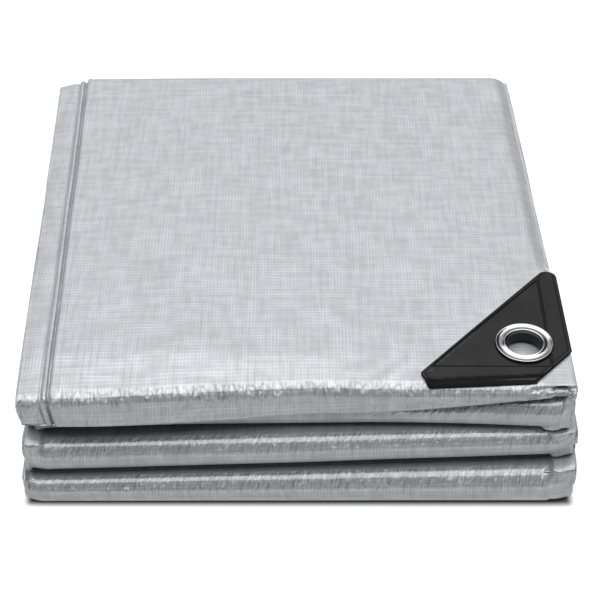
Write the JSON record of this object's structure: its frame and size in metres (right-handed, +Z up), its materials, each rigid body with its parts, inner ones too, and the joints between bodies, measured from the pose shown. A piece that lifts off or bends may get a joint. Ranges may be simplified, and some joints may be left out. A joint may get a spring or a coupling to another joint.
{
  "type": "folded tarp",
  "caption": "Woven-laminate tarp folded to a square bundle, with a plastic corner patch and a metal eyelet.",
  "frame": {"origin": "middle of the bundle's box at the surface that it lies on", "axes": "+Z up through the layers, +Y from the front folds to the back, +X to the side with the eyelet"},
  "size_m": [0.2982, 0.305, 0.0792],
  "materials": {
    "silver_laminate": "silver-grey woven tape cloth, laminated, half gloss",
    "black_plastic": "satin black moulded plastic",
    "polished_metal": "polished rolled metal"
  },
  "bodies": {
    "root": {"tarp_cloth": "silver_laminate", "corner_strip": "silver_laminate", "corner_patch": "black_plastic", "eyelet_ring": "polished_metal", "eyelet_washer": "polished_metal"}
  },
  "joints": []
}
